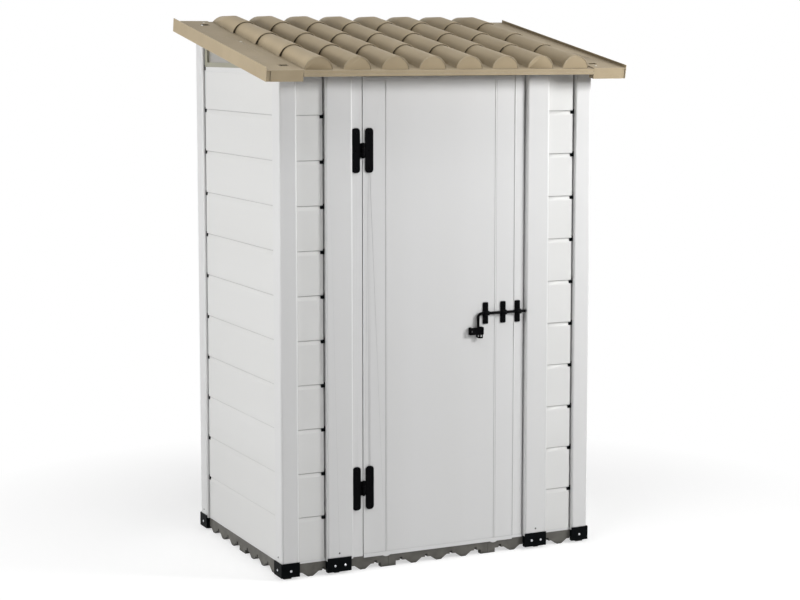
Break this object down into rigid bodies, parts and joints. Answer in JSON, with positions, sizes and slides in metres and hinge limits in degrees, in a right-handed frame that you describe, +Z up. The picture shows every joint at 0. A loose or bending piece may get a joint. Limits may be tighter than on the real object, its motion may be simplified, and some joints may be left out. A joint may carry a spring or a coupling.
{
  "type": "garden shed",
  "caption": "Small free-standing garden shed in white hollow planks with a tiled lean-to roof, a hinged door on black strap hinges and a sliding bolt.",
  "frame": {"origin": "on the ground under the middle of the whole shed, roof included", "axes": "+Z up, the door faces -Y, +X to the right when facing the door"},
  "size_m": [1.386, 0.9348, 1.9406],
  "materials": {
    "floor_plastic": "matt grey moulded plastic",
    "black_plastic": "matt black plastic",
    "bright_screw": "bright zinc-plated steel",
    "window_frame": "matt beige plastic",
    "window_pane": "translucent blue-grey plastic",
    "purlin_metal": "galvanised steel tube",
    "roof_screw": "pale screw cap",
    "roof_plastic": "satin taupe plastic",
    "black_metal": "black powder-coated steel",
    "white_pvc": "satin white PVC"
  },
  "bodies": {
    "shell": {"floor_tile_1": "floor_plastic", "floor_tile_2": "floor_plastic", "floor_tile_3": "floor_plastic", "floor_tile_4": "floor_plastic", "floor_tile_5": "floor_plastic", "floor_tile_6": "floor_plastic", "corner_shoe_front_left": "black_plastic", "corner_shoe_front_right": "black_plastic", "corner_shoe_rear_left": "black_plastic", "corner_shoe_rear_right": "black_plastic", "jamb_shoe_left": "black_plastic", "jamb_shoe_right": "black_plastic", "shoe_screws": "bright_screw", "corner_post_front_left": "white_pvc", "corner_post_front_right": "white_pvc", "corner_post_rear_left": "white_pvc", "corner_post_rear_right": "white_pvc", "corner_strips": "white_pvc", "door_jamb_left": "white_pvc", "door_jamb_right": "white_pvc", "post_screws": "bright_screw", "wall_sills": "white_pvc", "left_wall_planks": "white_pvc", "right_wall_planks": "white_pvc", "rear_wall_planks": "white_pvc", "front_left_planks": "white_pvc", "front_right_planks": "white_pvc", "plank_clips": "black_plastic", "gable_frame_left": "window_frame", "gable_frame_right": "window_frame", "gable_pane_left": "window_pane", "gable_pane_right": "window_pane", "front_header": "white_pvc", "roof_purlin": "purlin_metal", "roof_panel_left": "roof_plastic", "roof_panel_right": "roof_plastic", "verge_left": "roof_plastic", "verge_right": "roof_plastic", "eave_fascia": "roof_plastic", "tile_end_caps": "roof_plastic", "roof_screws": "roof_screw", "hinge_frame_leaf_lower": "black_metal", "hinge_frame_leaf_upper": "black_metal", "hinge_pin_lower": "black_metal", "hinge_pin_upper": "black_metal", "hinge_frame_screws": "black_metal"},
    "door": {"door_left_board": "white_pvc", "door_centre_panel": "white_pvc", "door_right_board": "white_pvc", "door_lock_stile": "white_pvc", "door_joint_left": "white_pvc", "door_joint_right": "white_pvc", "door_bottom_rail": "white_pvc", "door_top_rail": "white_pvc", "door_screws": "black_metal", "hinge_door_leaf_lower": "black_metal", "hinge_door_leaf_upper": "black_metal", "bolt_straps": "black_metal", "bolt_bridge": "black_metal"},
    "bolt": {"bolt_rod": "black_metal"}
  },
  "joints": [
    {"name": "door_swing", "type": "hinge", "parent": "shell", "child": "door", "pos_m": [-0.2976, -0.36058, 0.881], "axis": [0, 0, -1], "range_deg": [0, 110]},
    {"name": "bolt_slide", "type": "slide", "parent": "door", "child": "bolt", "axis": [1, 0, 0], "range_m": [-0.024, 0.008]}
  ]
}
